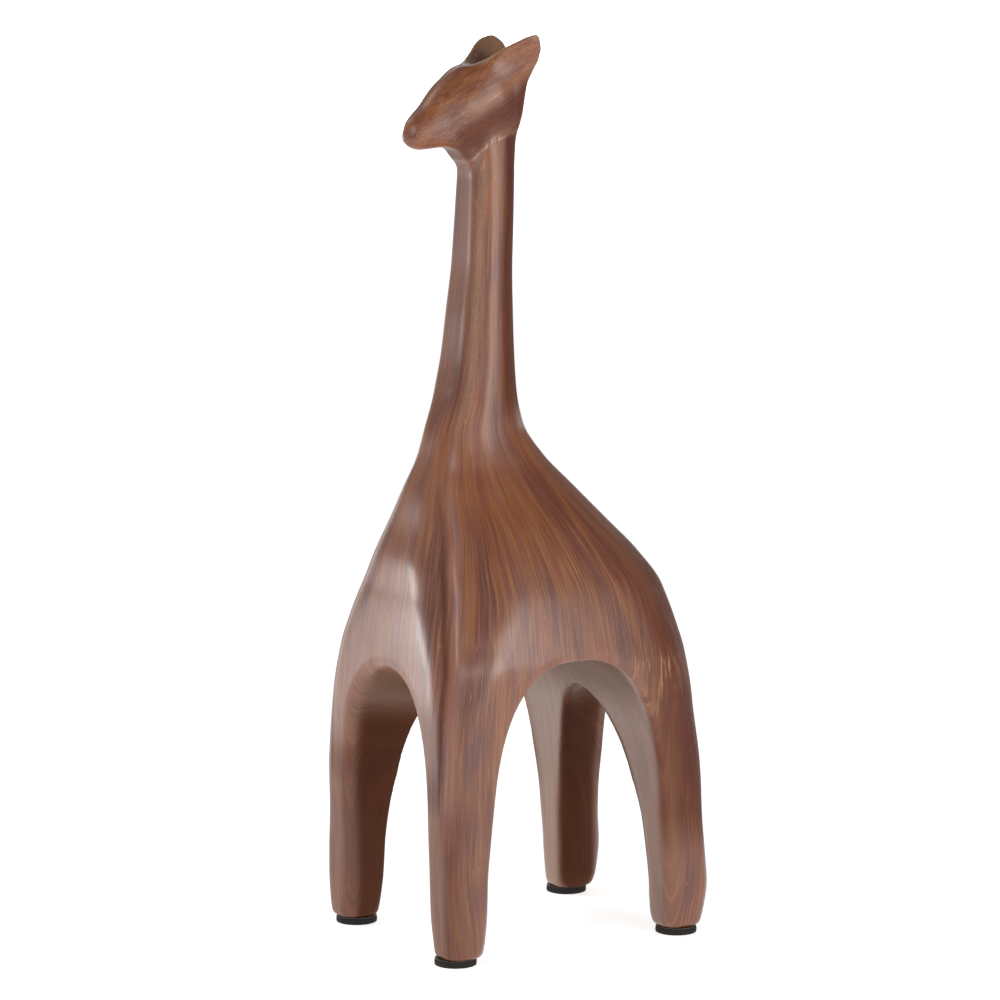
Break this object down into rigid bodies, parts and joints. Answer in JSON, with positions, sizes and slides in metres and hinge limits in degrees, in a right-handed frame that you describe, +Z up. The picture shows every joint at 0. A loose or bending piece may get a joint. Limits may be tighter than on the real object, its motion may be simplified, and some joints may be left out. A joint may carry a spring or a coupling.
{
  "type": "giraffe figurine",
  "caption": "Stylised standing giraffe figure with a bell-shaped body, a tall neck and swept-back ears, cast and painted like carved wood, on round stick-on foot pads.",
  "frame": {"origin": "on the floor, midway between the four feet, at the centre of the bounding box's underside", "axes": "+Z up from the feet to the ears; the giraffe faces -Y; +X is its left side"},
  "size_m": [0.117, 0.1398, 0.4087],
  "materials": {
    "painted_casting": "satin",
    "pad_rubber": "matte",
    "adhesive_film": "satin"
  },
  "bodies": {
    "root": {"giraffe_body": "painted_casting", "foot_pad_front_left": "pad_rubber", "pad_adhesive_front_left": "adhesive_film", "foot_pad_front_right": "pad_rubber", "pad_adhesive_front_right": "adhesive_film", "foot_pad_rear_left": "pad_rubber", "pad_adhesive_rear_left": "adhesive_film", "foot_pad_rear_right": "pad_rubber", "pad_adhesive_rear_right": "adhesive_film"}
  },
  "joints": []
}
